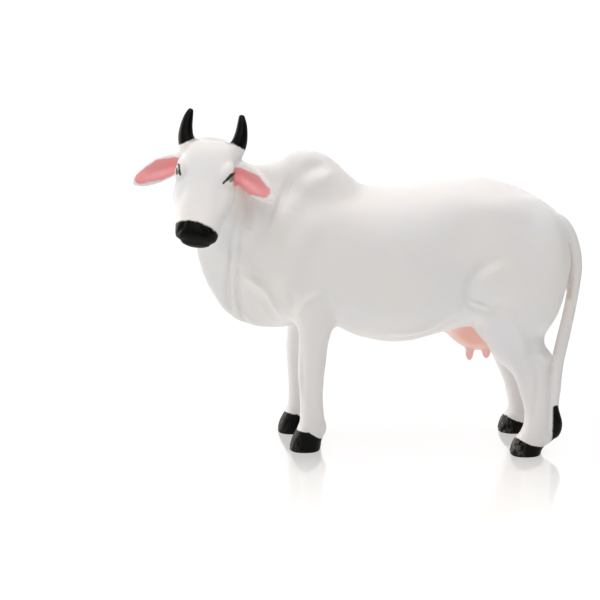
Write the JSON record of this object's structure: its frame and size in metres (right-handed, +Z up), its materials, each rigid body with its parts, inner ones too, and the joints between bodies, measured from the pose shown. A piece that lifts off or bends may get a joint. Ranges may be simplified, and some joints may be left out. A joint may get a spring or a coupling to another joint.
{
  "type": "humped cow figurine",
  "caption": "Moulded toy figure of a standing white humped cow, head turned to its left, with horns, drooping ears, dewlap, udder and tail.",
  "frame": {"origin": "on the ground, under the middle of the box round the whole figure", "axes": "+Z up, the cow's body faces -X, its left side faces -Y"},
  "size_m": [0.1456, 0.0504, 0.1159],
  "materials": {
    "painted_plastic": "satin white moulded plastic; horns, muzzle, hooves, tail tuft and eye lines painted black, insides of the ears and the udder pink"
  },
  "bodies": {
    "root": {"cow": "painted_plastic"}
  },
  "joints": []
}
